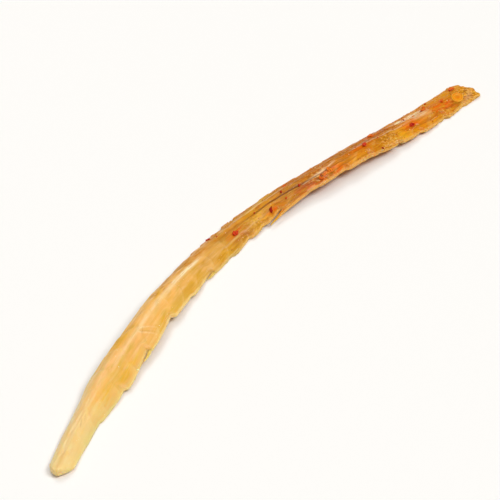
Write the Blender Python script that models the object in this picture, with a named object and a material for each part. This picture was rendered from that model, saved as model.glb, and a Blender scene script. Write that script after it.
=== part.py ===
# One strip of dried, seasoned cod, cut from a flat dried fillet.
#
# The strip lies on its underside. It is bowed sideways, lifts a little between the
# three places where it touches the table, and turns slightly about its own length.
# Metres, +Z up. The pale end points along -X and the seasoned end along +X.
# A place on the strip is its share of the length, 0 at the pale end and 1 at the
# seasoned end, and how far across it is, -1 at the torn edge on the -Y side and +1
# at the cut edge on the +Y side.

import math
import random

import bmesh
import bpy
from mathutils import Matrix, Vector, noise

MM = 0.001

# How the strip lies
REACH = 190 * MM  # straight from end to end
LIFT = 2.2 * MM  # how high it stands between the places where it rests
TWIST = math.radians(8)  # how far it has turned where it stands highest
FOOT_DEPTH = 0.3 * MM  # how much of the rounded underside is pressed flat where it rests
FIRST_FOOT = 0.07  # share of the length where it first rests
FOOT_SPACING = 0.43  # share of the length from one resting place to the next

# Sizes that change along the strip, as pairs of a share of the length and a size.
# Bow, width and crest are in millimetres, and the crest's place is across the strip.
BOW = (
    (0, 0), (0.10, 6.1), (0.24, 11.2), (0.38, 16.2), (0.50, 18.3),
    (0.60, 17.0), (0.70, 11.7), (0.85, 5.4), (1, 0),
)
WIDTH = (
    (0, 5.8), (0.07, 6.6), (0.12, 7.8), (0.17, 9.5), (0.30, 9.0), (0.42, 9.2),
    (0.52, 10.3), (0.62, 8.4), (0.75, 9.0), (0.90, 9.6), (1, 8.6),
)
CREST = ((0, 2.2), (0.12, 2.7), (0.30, 3.2), (0.48, 3.0), (0.62, 2.6), (0.80, 3.2), (1, 2.7))
CREST_PLACE = ((0, 0), (0.12, 0.25), (0.30, 0.38), (0.46, 0.30), (0.60, -0.05), (0.80, -0.25), (1, 0))

# The section across the strip
# thickness at the +Y edge, as a share of the crest
CUT_EDGE = ((0, 0.80), (0.12, 0.68), (0.30, 0.56), (0.50, 0.50), (1, 0.52))
TORN_EDGE = 0.40  # thickness at the -Y edge, as a share of the crest
# how far the crest is rounded, as a share of the way to the edge
CREST_SOFTNESS = ((0, 0.80), (0.15, 0.45), (0.35, 0.28), (0.60, 0.16), (1, 0.16))
MIDDLE = 0.45  # height of the outermost line of each edge, as a share of the thickness there
SQUARENESS = 3.8  # 2 is an ellipse, and more gives squarer corners
HOLLOW = 0.25 * MM  # how far the underside is drawn up along its middle

# The two ends
TIP_PLACE = 0.1  # where across the pale end its blunt tip is
TIP_SETBACK = 2.6 * MM  # how far the corners stand back from that tip
SLANT = 1.3 * MM  # how far the far end is cut askew, to each side
FAR_TEAR = 1.7 * MM  # how unevenly the far end is torn
FAR_TEAR_WIDTH = 0.45  # from one tear to the next, as a share of the half width
END_REACH = 11 * MM  # how far along the strip the shape of an end is felt
END_ROUNDING = 1.5 * MM
END_FACE = 0.6  # size of the flat end, as a share of the section behind it

# Relief of the flesh
EDGE_WANDER = 0.35 * MM
FIBRE_RELIEF = 0.24 * MM
FLAKE_STEP = 0.32 * MM  # height of a step from one layer of flesh to the next
FLAKE_SPACING = 7.3 * MM
FLAKE_SWEEP = 5 * MM  # how far the steps run back from the crest to the edges
TOOTH_BACK = 1.1 * MM  # a tooth's edge comes back out over this length
SCALLOP = 0.6 * MM  # depth of the scallops on the cut edge, near the middle of the strip
SCALLOP_SPACING = 4.6 * MM
SCALLOPS_AT = 0.53
SCALLOPS_WIDTH = 0.08
GROOVE_WIDTH = 0.19  # half width across the strip

# Teeth torn in the -Y edge: share of the length at the tooth's point, then the length
# and the depth of the bite before it, in millimetres
TEETH = (
    (0.105, 7, 0.4), (0.170, 9, 0.9), (0.245, 11, 1.2), (0.320, 10, 1.1), (0.375, 8, 0.5), (0.435, 9, 1.1),
    (0.483, 7, 0.5), (0.530, 7, 0.8), (0.566, 5, 0.5), (0.605, 6, 0.9), (0.722, 8, 0.8), (0.768, 7, 0.5),
    (0.825, 9, 0.9), (0.868, 6, 0.5), (0.920, 8, 0.9), (0.960, 6, 0.5),
)

# Long grooves between the fibres: depth in millimetres, then pairs of a share of the
# length and a place across
GROOVES = (
    (0.55, ((0.42, 0.24), (0.51, 0.10), (0.60, -0.14), (0.68, -0.36), (0.76, -0.48))),
    (0.35, ((0.70, 0.46), (0.80, 0.30), (0.90, 0.34), (0.99, 0.20))),
    (0.28, ((0.13, -0.20), (0.24, -0.34), (0.37, -0.26))),
)

# Mesh of the strip
AROUND = 24
UPPER_SHARE = 0.66  # share of the points round the section that are on the upper face
STATIONS = 168
END_STATIONS = 4

# Slivers torn loose from the -Y edge: share of the length at the root, then length,
# thickness and how far the free tip stands off, in millimetres. A negative length
# points the tip along +X.
SLIVERS = (
    (0.258, 5.5, 1.0, -0.35), (0.449, 5.0, 1.0, -0.4), (0.675, 20.0, 1.5, 1.3), (0.778, -8.0, 1.2, 0.0),
)
SLIVER_SIDES = 6
SLIVER_STATIONS = 8
SLIVER_ROOT = 1.4 * MM  # how deep the root is in the edge
SLIVER_SWELL = (0.12, 0.82)  # a sliver is as thick as a sine over this stretch of half a turn

# Crushed chilli stuck to the top: share of the length, place across, size in millimetres
CHILLI = (
    (0.680, -0.70, 1.0), (0.495, 0.80, 1.2), (0.520, -0.30, 1.9), (0.590, -0.66, 1.6), (0.640, 0.42, 1.3),
    (0.700, -0.62, 1.8), (0.772, -0.30, 1.4), (0.803, 0.50, 1.6), (0.862, -0.48, 1.9), (0.905, 0.24, 1.6),
    (0.937, -0.05, 1.3), (0.975, 0.45, 1.7),
)
CHILLI_SIDES = 6
CHILLI_NARROWNESS = 0.62  # width over length
CHILLI_THICKNESS = 0.5 * MM
CHILLI_SUNK = 0.35  # share of its thickness in the flesh
CHILLI_UNEVENNESS = 0.22
CHILLI_TILT = math.radians(14)
SEED = (0.962, -0.40)  # one flat chilli seed
SEED_SIZE = (3.8 * MM, 3.3 * MM, 1.0 * MM)

FLESH_COLOUR = (0.80, 0.50, 0.17)
CHILLI_COLOUR = (0.55, 0.07, 0.02)
SEED_COLOUR = (0.80, 0.33, 0.05)


def along(pairs, share):
    """The value at a share of the length, on a smooth curve through the pairs."""
    last = len(pairs) - 1
    i = next((k for k in range(last) if share <= pairs[k + 1][0]), last - 1)
    before, start, end, after = (pairs[min(max(k, 0), last)] for k in (i - 1, i, i + 1, i + 2))
    step = end[0] - start[0]
    rise = end[1] - start[1]
    t = (share - start[0]) / step
    slope_in = (end[1] - before[1]) / (end[0] - before[0]) * step
    slope_out = (after[1] - start[1]) / (after[0] - start[0]) * step
    curl = slope_in + slope_out - 2 * rise
    return start[1] + t * (slope_in + t * (rise - slope_in - curl + t * curl))


def rough(*place):
    """Smooth noise, about -1 to 1, at a place given in wavelengths."""
    return noise.noise(Vector(place))


def ramp(phase):
    """A sawtooth from 0 to 1 that climbs slowly and falls back over its last fifth."""
    fall = 0.2
    t = phase % 1
    return t / (1 - fall) if t < 1 - fall else (1 - t) / fall


def spine(share):
    """The point under the strip's middle line."""
    return Vector(((share - 0.5) * REACH, along(BOW, share) * MM, 0))


def sideways(share):
    """The level direction across the strip, towards +Y."""
    step = 0.01
    run = spine(share + step) - spine(share - step)
    return Vector((-run.y, run.x, 0)).normalized()


def tooth_bite(distance, point, length, depth):
    """How far the edge is drawn in by a tooth: more and more up to its point, then hardly at all."""
    gap = point * REACH - distance
    if gap >= 0:
        return depth * MM * max(0, 1 - gap / (length * MM)) ** 1.3
    return depth * MM * max(0, 1 + gap / TOOTH_BACK)


def half_width(share, side):
    """From the middle line to the edge: side is -1 for the torn edge and 1 for the cut one."""
    distance = share * REACH
    wander = EDGE_WANDER * rough(distance / (12 * MM), side * 3.7, 0)
    if side < 0:
        bite = max(tooth_bite(distance, *tooth) for tooth in TEETH)
    else:
        nearness = math.exp(-((share - SCALLOPS_AT) / SCALLOPS_WIDTH) ** 2)
        bite = SCALLOP * nearness * ramp(distance / SCALLOP_SPACING)
    return along(WIDTH, share) * MM / 2 + wander - bite


def groove_depth(share, across):
    """How deep the grooves are at a place: each fades out at its two ends."""
    depth = 0
    for deepest, course in GROOVES:
        first, last = course[0][0], course[-1][0]
        if first < share < last:
            fade = math.sin(math.pi * (share - first) / (last - first)) ** 0.5
            off = (across - along(course, share)) / GROOVE_WIDTH
            depth += deepest * MM * fade * math.exp(-off * off)
    return depth


def top(share, across):
    """Height of the upper face over the underside."""
    crest = along(CREST, share) * MM
    place = along(CREST_PLACE, share)
    edge = along(CUT_EDGE, share) if across > place else TORN_EDGE
    run = abs(across - place) / (1 + place if across < place else 1 - place)
    soft = along(CREST_SOFTNESS, share)
    fall = math.hypot(run, soft) - soft
    full_fall = math.hypot(1, soft) - soft
    slope = crest * (1 - (1 - edge) * fall / full_fall)
    distance = share * REACH
    fibres = FIBRE_RELIEF * rough(distance / (22 * MM), across * 3.1, 1.5)
    phase = (distance + FLAKE_SWEEP * run) / FLAKE_SPACING + 0.4 * rough(distance / (24 * MM), across, 4.2)
    strength = 0.6 + 0.7 * rough(distance / (17 * MM), across * 1.4, 7.7)
    steps = FLAKE_STEP * strength * (ramp(phase) - 0.5)
    return slope + fibres + steps - groove_depth(share, across)


def placed(share, across, height):
    """The point of the strip as it lies, for a height over its underside."""
    turn = math.pi * (share - FIRST_FOOT) / FOOT_SPACING
    angle = TWIST * math.sin(turn)
    raised = LIFT * math.sin(turn) ** 2 - FOOT_DEPTH
    out = across * half_width(share, -1 if across < 0 else 1)
    axis_height = along(CREST, share) * MM / 2
    up = height - axis_height
    level = out * math.cos(angle) - up * math.sin(angle)
    point = spine(share) + sideways(share) * level
    point.z = axis_height + raised + out * math.sin(angle) + up * math.cos(angle)
    return point


def end_setback(share, across):
    """How far a point near an end is drawn in along the strip, as a share of the length."""
    from_tip = max(0, 1 - share * REACH / END_REACH) ** 2
    from_far = max(0, 1 - (1 - share) * REACH / END_REACH) ** 2
    tip = TIP_SETBACK * abs(across - TIP_PLACE) ** 1.5
    far = SLANT * (1 + across) + FAR_TEAR * rough(across / FAR_TEAR_WIDTH, 5.5, 0)
    return (from_tip * tip - from_far * far) / REACH


def end_size(share):
    """Size of the section as it rounds over towards the nearer end."""
    gap = min(share, 1 - share) * REACH
    if gap >= END_ROUNDING:
        return 1
    fullness = math.sqrt(1 - (1 - gap / END_ROUNDING) ** 2)
    return END_FACE + (1 - END_FACE) * fullness


def station_share(step):
    """Share of the length at a station: the end stations are close together."""
    close = END_ROUNDING / REACH / END_STATIONS
    from_end = min(step, STATIONS - step)
    if from_end <= END_STATIONS:
        share = close * from_end
    else:
        inner = (1 - 2 * close * END_STATIONS) / (STATIONS - 2 * END_STATIONS)
        share = close * END_STATIONS + inner * (from_end - END_STATIONS)
    return share if step * 2 <= STATIONS else 1 - share


def fullness(across):
    """How far the section reaches up or down from its middle line, 1 at most and 0 at an edge."""
    return max(0, 1 - abs(across) ** SQUARENESS) ** (1 / SQUARENESS)


def skin_point(share, across, rise):
    """A point of the skin: rise is 1 at the upper face, 0 at an edge and -1 at the underside."""
    size = end_size(share)
    across *= size
    thickness = top(share, across)
    middle = MIDDLE * thickness
    hollow = HOLLOW * (1 - across ** 2)
    reach = thickness - middle if rise > 0 else middle - hollow
    return placed(share + end_setback(share, across), across, middle + rise * size * reach)


def bar(sides, stations):
    """A bar of radius 1 along Z, from 0 to its number of stations, with a ring at each."""
    bm = bmesh.new()
    bmesh.ops.create_cone(
        bm, cap_ends=True, cap_tris=True, segments=sides, radius1=1, radius2=1, depth=stations,
        matrix=Matrix.Translation((0, 0, stations / 2)),
    )
    long_edges = [edge for edge in bm.edges if abs(edge.verts[0].co.z - edge.verts[1].co.z) > stations / 2]
    bmesh.ops.subdivide_edges(bm, edges=long_edges, cuts=stations - 1, use_grid_fill=True)
    return bm


def finish(bm, name, material, collection):
    """Close off a mesh as an object of its own, with its faces pointing out."""
    for vert in bm.verts:
        vert.co.z = max(vert.co.z, 0)
    bmesh.ops.recalc_face_normals(bm, faces=bm.faces)
    mesh = bpy.data.meshes.new(name)
    bm.to_mesh(mesh)
    bm.free()
    mesh.materials.append(material)
    mesh.shade_smooth()
    thing = bpy.data.objects.new(name, mesh)
    collection.objects.link(thing)
    return thing


def make_strip(material, collection):
    """The strip itself: each ring of a bar is moved to the section at its station."""
    bm = bar(AROUND, STATIONS)
    for vert in bm.verts:
        out = math.hypot(vert.co.x, vert.co.y)
        from_top = math.atan2(abs(vert.co.x), vert.co.y) / math.pi
        upper = from_top <= UPPER_SHARE
        to_edge = from_top / UPPER_SHARE if upper else (1 - from_top) / (1 - UPPER_SHARE)
        across = out * math.copysign(math.sin(to_edge * math.pi / 2), vert.co.x)
        rise = out * fullness(across) * (1 if upper else -1)
        vert.co = skin_point(station_share(round(vert.co.z)), across, rise)
    return finish(bm, "cod_strip", material, collection)


def make_sliver(root, length, thickness, stand_off, material, collection):
    """A tapering sliver that leaves the torn edge at its root and runs along beside it."""
    bm = bar(SLIVER_SIDES, SLIVER_STATIONS)
    for vert in bm.verts:
        t = vert.co.z / SLIVER_STATIONS
        share = root - t * length * MM / REACH
        radius = thickness * MM / 2 * math.sin(math.pi * (SLIVER_SWELL[0] + SLIVER_SWELL[1] * t ** 0.7))
        out = along(WIDTH, share) * MM / 2 - SLIVER_ROOT * (1 - t) ** 2 + stand_off * MM * t ** 1.5
        out -= vert.co.x * radius
        level = MIDDLE * top(share, -1) + vert.co.y * radius
        vert.co = placed(share, -out / half_width(share, -1), level)
    return finish(bm, "sliver", material, collection)


def on_top(share, across):
    """A frame on the upper face: X along the strip, Z straight out of the face."""
    step = 0.01
    here = skin_point(share, across, fullness(across))
    ahead = skin_point(share + step, across, fullness(across)) - here
    beside = skin_point(share, across + step, fullness(across + step)) - here
    out = ahead.cross(beside).normalized()
    ahead.normalize()
    return Matrix.Translation(here) @ Matrix((ahead, out.cross(ahead), out)).transposed().to_4x4()


def make_flake(share, across, size, chance, material, collection):
    """A flake of crushed chilli: a thin uneven plate, partly sunk in the flesh."""
    bm = bmesh.new()
    bmesh.ops.create_cone(bm, cap_ends=True, segments=CHILLI_SIDES, radius1=0.5, radius2=0.4, depth=1)
    place = on_top(share, across) @ Matrix.Rotation(chance.uniform(0, math.pi), 4, "Z")
    place = place @ Matrix.Rotation(chance.uniform(-CHILLI_TILT, CHILLI_TILT), 4, "X")
    for vert in bm.verts:
        vert.co.x *= size * MM * (1 + chance.uniform(-1, 1) * CHILLI_UNEVENNESS)
        vert.co.y *= size * MM * CHILLI_NARROWNESS * (1 + chance.uniform(-1, 1) * CHILLI_UNEVENNESS)
        vert.co.z = (vert.co.z + 0.5 - CHILLI_SUNK) * CHILLI_THICKNESS
        vert.co = place @ vert.co
    return finish(bm, "chilli_flake", material, collection)


def make_seed(material, collection):
    """A flat round chilli seed, half sunk in the flesh."""
    bm = bmesh.new()
    bmesh.ops.create_uvsphere(bm, u_segments=12, v_segments=6, radius=0.5)
    place = on_top(*SEED)
    for vert in bm.verts:
        vert.co = place @ Vector(size * axis for size, axis in zip(SEED_SIZE, vert.co))
    return finish(bm, "chilli_seed", material, collection)


def make_material(name, colour, roughness):
    material = bpy.data.materials.new(name)
    material.use_nodes = True
    shader = material.node_tree.nodes["Principled BSDF"]
    shader.inputs["Base Color"].default_value = (*colour, 1)
    shader.inputs["Roughness"].default_value = roughness
    shader.inputs["Metallic"].default_value = 0
    return material


def fuse(strip, toppings):
    """Join everything in a collection to the strip as one closed solid."""
    union = strip.modifiers.new("toppings", "BOOLEAN")
    union.operation = "UNION"
    union.solver = "EXACT"
    union.operand_type = "COLLECTION"
    union.collection = toppings
    union.material_mode = "TRANSFER"
    fused = bpy.data.meshes.new_from_object(strip.evaluated_get(bpy.context.evaluated_depsgraph_get()))
    strip.modifiers.clear()
    strip.data = fused
    fused.set_sharp_from_angle(angle=math.radians(42))
    for piece in list(toppings.objects):
        bpy.data.objects.remove(piece)
    bpy.data.collections.remove(toppings)


def centre(strip):
    """Put the origin under the middle of the strip's box, on the table."""
    corners = [Vector(corner) for corner in strip.bound_box]
    middle = (corners[0] + corners[6]) / 2
    strip.data.transform(Matrix.Translation((-middle.x, -middle.y, 0)))


def main():
    for old in list(bpy.data.objects):
        bpy.data.objects.remove(old)
    chance = random.Random(12)
    part = bpy.data.collections.new("dried_cod_strip")
    toppings = bpy.data.collections.new("toppings")
    for collection in (part, toppings):
        bpy.context.scene.collection.children.link(collection)
    flesh = make_material("dried_flesh", FLESH_COLOUR, 0.38)
    chilli = make_material("crushed_chilli", CHILLI_COLOUR, 0.45)
    seed = make_material("chilli_seed", SEED_COLOUR, 0.4)

    strip = make_strip(flesh, part)
    for sliver in SLIVERS:
        make_sliver(*sliver, flesh, toppings)
    for share, across, size in CHILLI:
        make_flake(share, across, size, chance, chilli, toppings)
    make_seed(seed, toppings)
    fuse(strip, toppings)
    centre(strip)


main()
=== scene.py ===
import random
from math import cos, pi, radians, sin

import bpy
import numpy as np
from mathutils import Matrix, Vector, noise


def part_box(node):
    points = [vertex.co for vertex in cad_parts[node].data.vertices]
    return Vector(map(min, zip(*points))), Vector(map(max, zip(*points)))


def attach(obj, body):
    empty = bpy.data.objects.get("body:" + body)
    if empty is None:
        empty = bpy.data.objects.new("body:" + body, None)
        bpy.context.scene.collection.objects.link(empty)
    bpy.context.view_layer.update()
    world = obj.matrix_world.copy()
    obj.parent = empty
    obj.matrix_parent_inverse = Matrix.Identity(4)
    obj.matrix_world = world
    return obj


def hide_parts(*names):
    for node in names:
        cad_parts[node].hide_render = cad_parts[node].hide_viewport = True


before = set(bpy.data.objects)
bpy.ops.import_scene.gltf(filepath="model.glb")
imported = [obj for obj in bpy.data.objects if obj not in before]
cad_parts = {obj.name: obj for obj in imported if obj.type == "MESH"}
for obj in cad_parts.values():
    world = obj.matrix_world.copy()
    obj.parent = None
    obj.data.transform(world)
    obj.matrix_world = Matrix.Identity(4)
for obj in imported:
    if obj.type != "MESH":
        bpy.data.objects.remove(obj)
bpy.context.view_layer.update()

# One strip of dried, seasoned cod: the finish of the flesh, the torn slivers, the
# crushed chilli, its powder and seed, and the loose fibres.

body = "root"
solid = "cod_strip"
mm = 0.001  # the sizes below are in millimetres and the meshes in metres


# Small helpers

def rough(*place):
    # smooth noise from about -1 to 1, at places given in wavelengths
    place = np.broadcast_arrays(*place)
    spots = zip(*(axis.ravel().tolist() for axis in place))
    return np.array([noise.noise(spot) for spot in spots]).reshape(place[0].shape)


def along(pairs, share):
    # a smooth curve through pairs of a share of the length and a size
    at, size = np.array(pairs, float).T
    last = len(at) - 1
    i = np.clip(np.searchsorted(at[1:], share), 0, last - 1)
    before, after = np.maximum(i - 1, 0), np.minimum(i + 2, last)
    step, rise = at[i + 1] - at[i], size[i + 1] - size[i]
    t = (share - at[i]) / step
    slopeIn = (size[i + 1] - size[before]) / (at[i + 1] - at[before]) * step
    slopeOut = (size[after] - size[i]) / (at[after] - at[i]) * step
    curl = slopeIn + slopeOut - 2 * rise
    return size[i] + t * (slopeIn + t * (rise - slopeIn - curl + t * curl))


def ramp(phase, fall=0.2):
    # a sawtooth that climbs slowly and falls back over the last part of each turn
    t = phase % 1
    return np.where(t < 1 - fall, t / (1 - fall), (1 - t) / fall)


def smooth(low, high, value):
    t = np.clip((value - low) / (high - low), 0, 1)
    return t * t * (3 - 2 * t)


def bell(value, middle, width):
    return np.exp(-((value - middle) / width) ** 2)


def ringAngles(count):
    return np.linspace(-pi, pi, count, endpoint=False)


def outward(points):
    # unit normals of a grid of points that closes on itself along its second axis
    ahead = np.gradient(points, axis=0)
    beside = np.roll(points, -1, axis=1) - np.roll(points, 1, axis=1)
    normal = np.cross(ahead, beside)
    return normal / np.maximum(np.linalg.norm(normal, axis=2, keepdims=True), 1e-9)


def tubeFaces(rows, ring, first=0):
    # quads between neighbouring rings, and a fan onto one more point at each end
    a = np.arange(rows - 1)[:, None] * ring + np.arange(ring)[None] + first
    b = np.roll(a, -1, axis=1)
    quads = np.stack([a, a + ring, b + ring, b], 2).reshape(-1, 4).tolist()
    near, far = first + rows * ring, first + rows * ring + 1
    start, end = first, first + (rows - 1) * ring
    fans = [(near, start + k, start + (k + 1) % ring) for k in range(ring)]
    fans += [(far, end + (k + 1) % ring, end + k) for k in range(ring)]
    return quads + fans


def closed(values):
    # a grid's points or values as a list, with the middle of each end ring after them
    ends = [values[0].mean(0, keepdims=True), values[-1].mean(0, keepdims=True)]
    return np.concatenate([values.reshape(-1, *values.shape[2:]), *ends])


def newObject(name, data):
    # an object for a mesh, a light or a camera
    made = bpy.data.objects.new(name, data)
    bpy.context.scene.collection.objects.link(made)
    return made


def makePiece(name, points, faces, material):
    mesh = bpy.data.meshes.new(name)
    places = (np.asarray(points) + shift) * mm
    places[:, 2] = np.maximum(places[:, 2], 0)  # nothing sinks into the table
    mesh.from_pydata(places.tolist(), [], faces)
    mesh.materials.append(material)
    mesh.shade_smooth()
    return newObject(name, mesh)


def paint(piece, name, values):
    # keeps a number or a direction at each point, for the materials and the scattering
    kind, key = ("FLOAT", "value") if values.ndim == 1 else ("FLOAT_VECTOR", "vector")
    layer = piece.data.attributes.new(name, kind, "POINT")
    layer.data.foreach_set(key, np.ascontiguousarray(values, np.float32).ravel())


# How the strip lies and how it was cut, the same sizes as the solid's

strip = {
    "reach": 190, "lift": 2.2, "twist": radians(8),
    "footDepth": 0.3, "firstFoot": 0.07, "footSpacing": 0.43,  # where it rests, as shares of its length
    "bow": (
        (0, 0), (0.10, 6.1), (0.24, 11.2), (0.38, 16.2), (0.50, 18.3),
        (0.60, 17.0), (0.70, 11.7), (0.85, 5.4), (1, 0),
    ),
    "width": (
        (0, 5.8), (0.07, 6.6), (0.12, 7.8), (0.17, 9.5), (0.30, 9.0), (0.42, 9.2),
        (0.52, 10.3), (0.62, 8.4), (0.75, 9.0), (0.90, 9.6), (1, 8.6),
    ),
    "crest": ((0, 2.2), (0.12, 2.7), (0.30, 3.2), (0.48, 3.0), (0.62, 2.6), (0.80, 3.2), (1, 2.7)),
    "crestPlace": ((0, 0), (0.12, 0.25), (0.30, 0.38), (0.46, 0.30), (0.60, -0.05), (0.80, -0.25), (1, 0)),
    "cutEdge": ((0, 0.80), (0.12, 0.68), (0.30, 0.56), (0.50, 0.50), (1, 0.52)),
    "tornEdge": 0.40,
    "crestSoftness": ((0, 0.80), (0.15, 0.45), (0.35, 0.28), (0.60, 0.16), (1, 0.16)),
    "middle": 0.45, "squareness": 3.8, "hollow": 0.25,
    "tipPlace": 0.1, "tipSetback": 2.6, "slant": 1.3, "farTear": 1.7, "farTearWidth": 0.45,
    "endReach": 11, "endRounding": 1.5, "endFace": 0.6,
    "edgeWander": 0.35, "edgeWanderLength": 12, "fibreRelief": 0.24, "fibreReliefLength": 22,
    "flakeStep": 0.32, "flakeSpacing": 7.3, "flakeSweep": 5,
    "flakeStrength": (0.6, 0.7), "flakeStrengthLength": 17, "layerWaver": 0.4, "layerWaverLength": 24,
    "toothBack": 1.1, "scallop": 0.6, "scallopSpacing": 4.6, "scallopsAt": 0.53, "scallopsWidth": 0.08,
    "teeth": (  # share of the length at the tooth's point, then the length and depth of its bite
        (0.105, 7, 0.4), (0.17, 9, 0.9), (0.245, 11, 1.2), (0.32, 10, 1.1), (0.375, 8, 0.5), (0.435, 9, 1.1),
        (0.483, 7, 0.5), (0.53, 7, 0.8), (0.566, 5, 0.5), (0.605, 6, 0.9), (0.722, 8, 0.8), (0.768, 7, 0.5),
        (0.825, 9, 0.9), (0.868, 6, 0.5), (0.92, 8, 0.9), (0.96, 6, 0.5),
    ),
    "grooveWidth": 0.19,
    "grooves": (
        (0.55, (0.42, 0.24), (0.51, 0.10), (0.60, -0.14), (0.68, -0.36), (0.76, -0.48)),
        (0.35, (0.70, 0.46), (0.80, 0.30), (0.90, 0.34), (0.99, 0.20)),
        (0.28, (0.13, -0.20), (0.24, -0.34), (0.37, -0.26)),
    ),
    "ringPoints": 112, "upperShare": 0.66, "stations": 790, "endStations": 10, "capRings": 6,
}


def spine(share):
    return np.stack([(share - 0.5) * strip["reach"], along(strip["bow"], share), 0 * share], -1)


def sideways(share):
    run = spine(share + 0.01) - spine(share - 0.01)
    side = np.stack([-run[..., 1], run[..., 0], 0 * share], -1)
    return side / np.linalg.norm(side, axis=-1, keepdims=True)


def tornBite(distance):
    deepest = 0 * distance
    for point, length, depth in strip["teeth"]:
        gap = point * strip["reach"] - distance
        before = np.maximum(0, 1 - gap / length) ** 1.3
        after = np.maximum(0, 1 + gap / strip["toothBack"])
        deepest = np.maximum(deepest, depth * np.where(gap >= 0, before, after))
    return deepest


def halfWidth(share, across):
    distance = share * strip["reach"]
    side = np.where(across < 0, -1.0, 1.0)
    wander = strip["edgeWander"] * rough(distance / strip["edgeWanderLength"], side * 3.7, 0)
    nearness = bell(share, strip["scallopsAt"], strip["scallopsWidth"])
    scallops = strip["scallop"] * nearness * ramp(distance / strip["scallopSpacing"])
    bite = np.where(across < 0, tornBite(distance), scallops)
    return along(strip["width"], share) / 2 + wander - bite


def band(share, across, course, width):
    # 1 along a course over the surface, falling off to both sides and towards its ends
    first, last = course[0][0], course[-1][0]
    inside = np.clip((share - first) / (last - first), 0, 1)
    return np.sqrt(np.sin(pi * inside).clip(0)) * bell(across, along(course, share), width)


def grooveDepth(share, across, width):
    return sum(deepest * band(share, across, course, width) for deepest, *course in strip["grooves"])


def fromCrest(share, across):
    # 0 on the crest and 1 at either edge
    place = along(strip["crestPlace"], share)
    return np.abs(across - place) / np.where(across < place, 1 + place, 1 - place)


def layerPhase(share, across, run):
    # the muscle is built of layers, and each whole number is the step from one to the next
    distance = share * strip["reach"]
    phase = (distance + strip["flakeSweep"] * run) / strip["flakeSpacing"]
    return phase + strip["layerWaver"] * rough(distance / strip["layerWaverLength"], across, 4.2)


def upperFace(share, across):
    # height of the upper face over the underside
    place = along(strip["crestPlace"], share)
    edge = np.where(across > place, along(strip["cutEdge"], share), strip["tornEdge"])
    run = fromCrest(share, across)
    soft = along(strip["crestSoftness"], share)
    fall = (np.hypot(run, soft) - soft) / (np.hypot(1, soft) - soft)
    slope = along(strip["crest"], share) * (1 - (1 - edge) * fall)
    distance = share * strip["reach"]
    fibres = strip["fibreRelief"] * rough(distance / strip["fibreReliefLength"], across * 3.1, 1.5)
    least, more = strip["flakeStrength"]
    strength = least + more * rough(distance / strip["flakeStrengthLength"], across * 1.4, 7.7)
    steps = strip["flakeStep"] * strength * (ramp(layerPhase(share, across, run), 0.12) - 0.5)
    return slope + fibres + steps - grooveDepth(share, across, strip["grooveWidth"])


def placed(share, across, height):
    # the point of the strip as it lies, for a height over its underside
    turn = pi * (share - strip["firstFoot"]) / strip["footSpacing"]
    angle = strip["twist"] * np.sin(turn)
    raised = strip["lift"] * np.sin(turn) ** 2 - strip["footDepth"]
    out = across * halfWidth(share, across)
    axisHeight = along(strip["crest"], share) / 2
    up = height - axisHeight
    point = spine(share) + sideways(share) * (out * np.cos(angle) - up * np.sin(angle))[..., None]
    point[..., 2] = axisHeight + raised + out * np.sin(angle) + up * np.cos(angle)
    return point


def endSetback(share, across):
    fromTip = np.maximum(0, 1 - share * strip["reach"] / strip["endReach"]) ** 2
    fromFar = np.maximum(0, 1 - (1 - share) * strip["reach"] / strip["endReach"]) ** 2
    tip = strip["tipSetback"] * np.abs(across - strip["tipPlace"]) ** 1.5
    tear = strip["farTear"] * rough(across / strip["farTearWidth"], 5.5, 0)
    return (fromTip * tip - fromFar * (strip["slant"] * (1 + across) + tear)) / strip["reach"]


def endSize(share):
    gap = np.clip(np.minimum(share, 1 - share) * strip["reach"] / strip["endRounding"], 0, 1)
    return strip["endFace"] + (1 - strip["endFace"]) * np.sqrt(1 - (1 - gap) ** 2)


def fullness(across):
    return np.maximum(0, 1 - np.abs(across) ** strip["squareness"]) ** (1 / strip["squareness"])


def skinPoint(share, across, rise, size=None):
    # rise is 1 at the upper face, 0 at an edge and -1 at the underside
    size = endSize(share) if size is None else size
    across = across * size
    thickness = upperFace(share, across)
    middle = strip["middle"] * thickness
    hollow = strip["hollow"] * (1 - across ** 2)
    reach = np.where(rise > 0, thickness - middle, middle - hollow)
    return placed(share + endSetback(share, across), across, middle + rise * size * reach)


def stationRows():
    # share of the length and size of the section at each ring, with smaller rings on the two ends
    close = strip["endRounding"] / strip["reach"]
    near = np.linspace(0, close, strip["endStations"], endpoint=False)
    inner = np.linspace(close, 1 - close, strip["stations"])
    share = np.concatenate([near, inner, 1 - near[::-1]])
    size = endSize(share)
    cap = np.linspace(0.06, 1, strip["capRings"], endpoint=False)
    return (
        np.concatenate([0 * cap, share, 0 * cap + 1]),
        np.concatenate([cap * size[0], size, cap[::-1] * size[-1]]),
    )


# Relief that is too fine for the solid

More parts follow.
